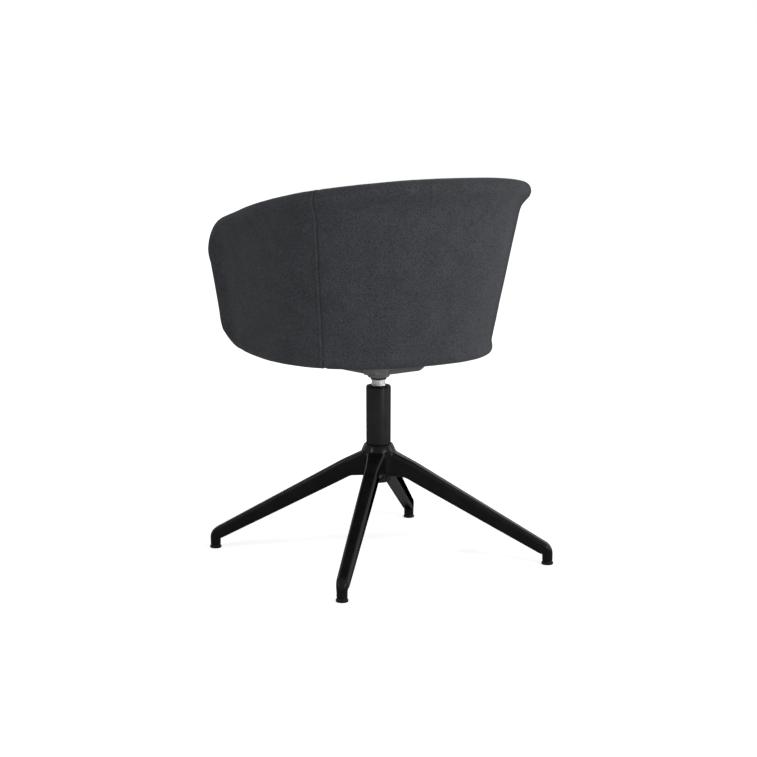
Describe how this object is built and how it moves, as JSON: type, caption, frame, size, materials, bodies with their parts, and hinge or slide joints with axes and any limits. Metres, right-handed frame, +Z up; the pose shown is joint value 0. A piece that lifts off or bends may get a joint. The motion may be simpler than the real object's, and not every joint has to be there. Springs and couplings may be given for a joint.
{
  "type": "swivel chair",
  "caption": "Upholstered tub armchair with a rolled rim that turns on a fixed-height column over a cast base.",
  "frame": {"origin": "on the floor under the column's axis, at the centre of the bounding box's base", "axes": "+Z up along the column, -Y towards the chair's front, +X towards the chair's own left"},
  "size_m": [0.5896, 0.5708, 0.7802],
  "materials": {
    "charcoal_cloth": "melange wool cloth",
    "black_casting": "black powder coat",
    "black_tube": "black powder coat",
    "black_plastic": "satin",
    "glide_plastic": "matte",
    "washer_plastic": "moulded",
    "spindle_steel": "satin",
    "ring_rubber": "matte",
    "grey_casting": "grey powder coat",
    "bolt_steel": "zinc plated",
    "plywood": "raw",
    "core_plastic": "moulded",
    "foam": "moulded foam",
    "felt": "needle felt"
  },
  "bodies": {
    "base": {"base_casting": "black_casting", "glides": "glide_plastic", "column_tube": "black_tube", "guide_bush": "black_plastic", "thrust_washer": "washer_plastic"},
    "seat": {"spindle": "spindle_steel", "retaining_clip": "bolt_steel", "dust_ring": "ring_rubber", "seat_plate": "grey_casting", "plate_bolts": "bolt_steel", "seat_board": "plywood", "shell_core": "core_plastic", "shell_foam": "foam", "seat_foam": "foam", "underside_felt": "felt", "outer_back_cover": "charcoal_cloth", "left_side_cover": "charcoal_cloth", "right_side_cover": "charcoal_cloth", "inner_cover": "charcoal_cloth", "seat_cover": "charcoal_cloth", "seat_front_cover": "charcoal_cloth"}
  },
  "joints": [
    {"name": "seat_swivel", "type": "hinge", "parent": "base", "child": "seat", "pos_m": [0, 0, 0.168], "axis": [0, 0, 1], "continuous": true}
  ]
}
